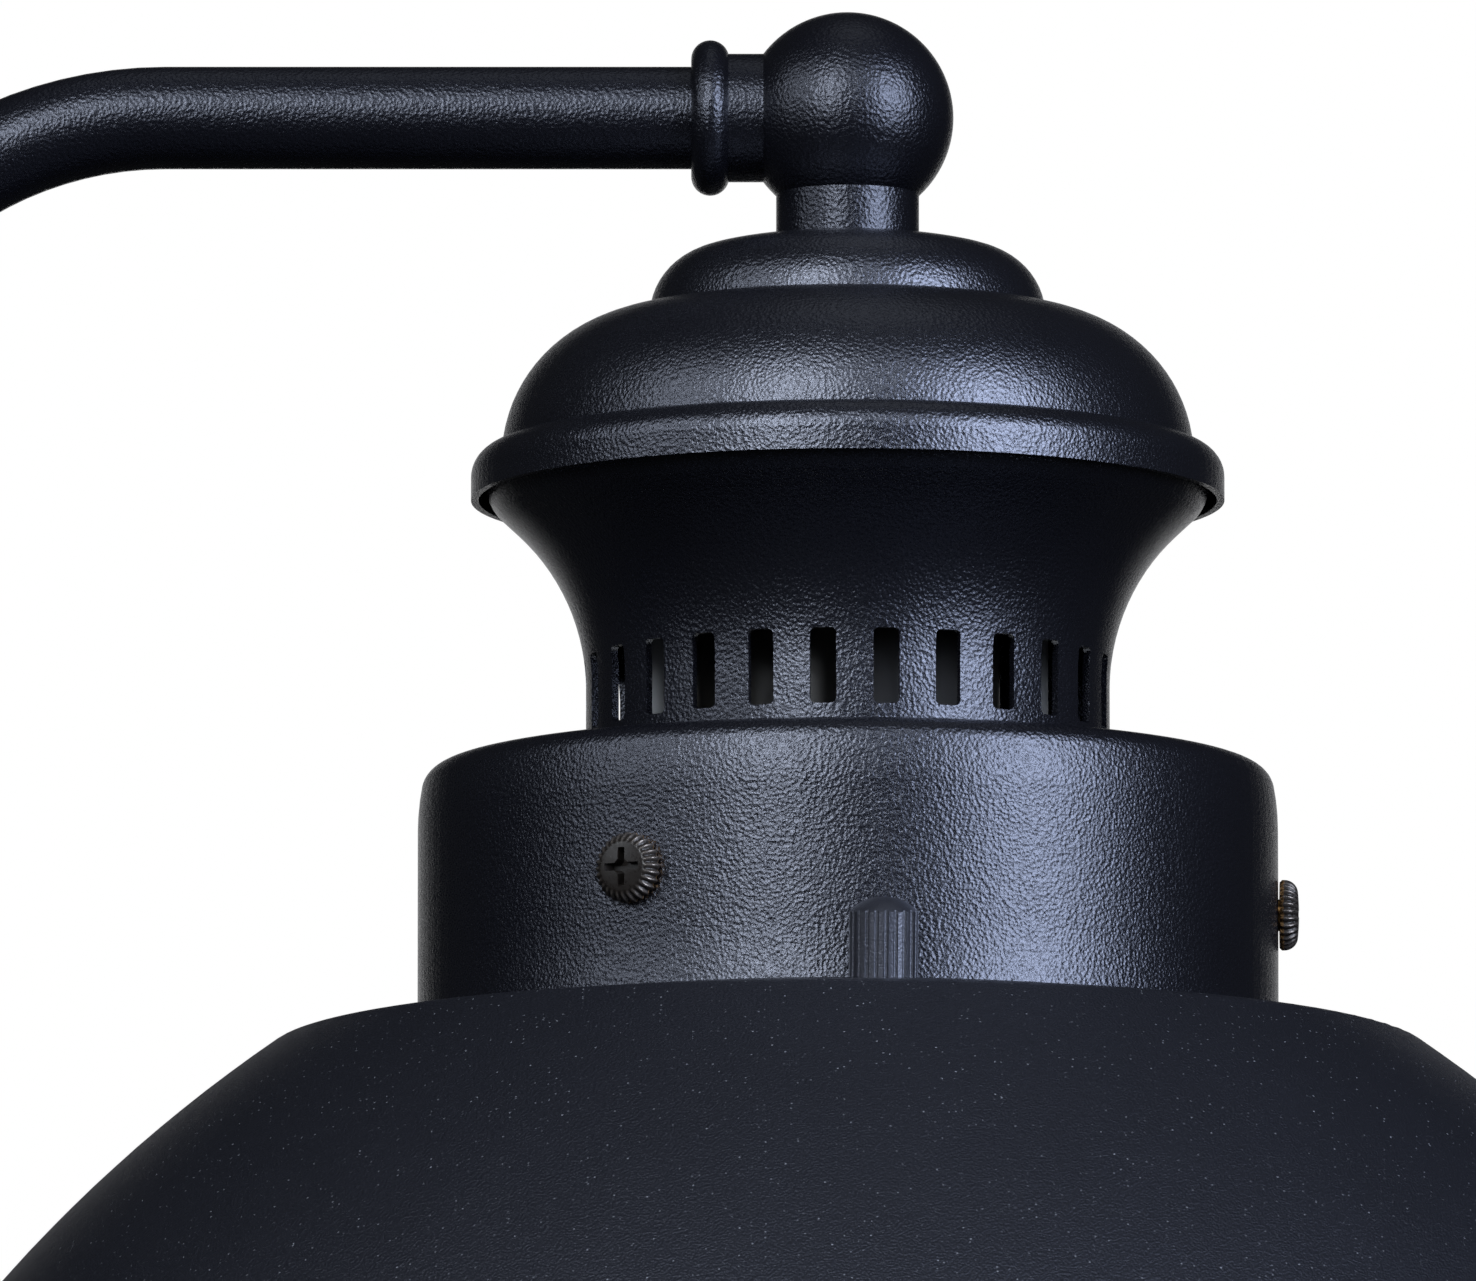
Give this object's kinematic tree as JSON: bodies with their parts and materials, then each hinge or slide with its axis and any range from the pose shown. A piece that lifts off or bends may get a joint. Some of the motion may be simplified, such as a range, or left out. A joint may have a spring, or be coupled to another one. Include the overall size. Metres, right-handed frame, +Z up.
{
  "type": "outdoor wall light",
  "caption": "Black swan-neck outdoor wall light: ball elbow, stepped vent cap over a slotted flared chimney, fitter collar with knurled thumbscrews, dome shade and glass jar.",
  "frame": {"origin": "centre of the mounting bar's back face, on the wall plane behind the centre of the canopy", "axes": "+X leaves the wall towards the lamp, +Z is up, +Y completes a right-handed frame; the lamp hangs on a vertical axis 220 mm from the wall"},
  "size_m": [0.3458, 0.2516, 0.207],
  "materials": {
    "black_coat": "fine textured black powder coat",
    "black_hardware": "smooth semi-gloss black plating",
    "zinc_steel": "zinc plated steel",
    "phenolic": "black moulded phenolic",
    "brass": "plain brass",
    "clear_glass": "clear pressed glass",
    "gasket_rubber": "closed-cell foam rubber",
    "wire_black": "black wire insulation",
    "wire_white": "white wire insulation",
    "green_steel": "green lacquered steel"
  },
  "bodies": {
    "light": {"arm_tube": "black_coat", "ball_elbow": "black_coat", "vent_cap": "black_coat", "vent_chimney": "black_coat", "fitter_collar": "black_coat", "shade": "black_coat", "wall_canopy": "black_coat", "arm_base_ring": "black_coat", "shade_cap_nuts": "black_hardware", "canopy_cap_nuts": "black_hardware", "stem_tube": "zinc_steel", "yoke": "zinc_steel", "yoke_washer": "zinc_steel", "yoke_nut": "zinc_steel", "mounting_bar": "zinc_steel", "canopy_studs": "zinc_steel", "shade_studs": "zinc_steel", "arm_lock_nut": "zinc_steel", "lampholder_body": "phenolic", "screw_shell": "brass", "centre_contact": "brass", "glass_jar": "clear_glass", "canopy_gasket": "gasket_rubber", "line_wire": "wire_black", "neutral_wire": "wire_white", "ground_screw": "green_steel"},
    "screw_1": {"thumbscrew_1": "black_hardware"},
    "screw_2": {"thumbscrew_2": "black_hardware"},
    "screw_3": {"thumbscrew_3": "black_hardware"}
  },
  "joints": [
    {"name": "screw_1_out", "type": "slide", "parent": "light", "child": "screw_1", "axis": [1, 0, 0], "range_m": [0, 0.004]},
    {"name": "screw_2_out", "type": "slide", "parent": "light", "child": "screw_2", "axis": [-0.5, 0.866, 0], "range_m": [0, 0.004]},
    {"name": "screw_3_out", "type": "slide", "parent": "light", "child": "screw_3", "axis": [-0.5, -0.866, 0], "range_m": [0, 0.004]}
  ]
}
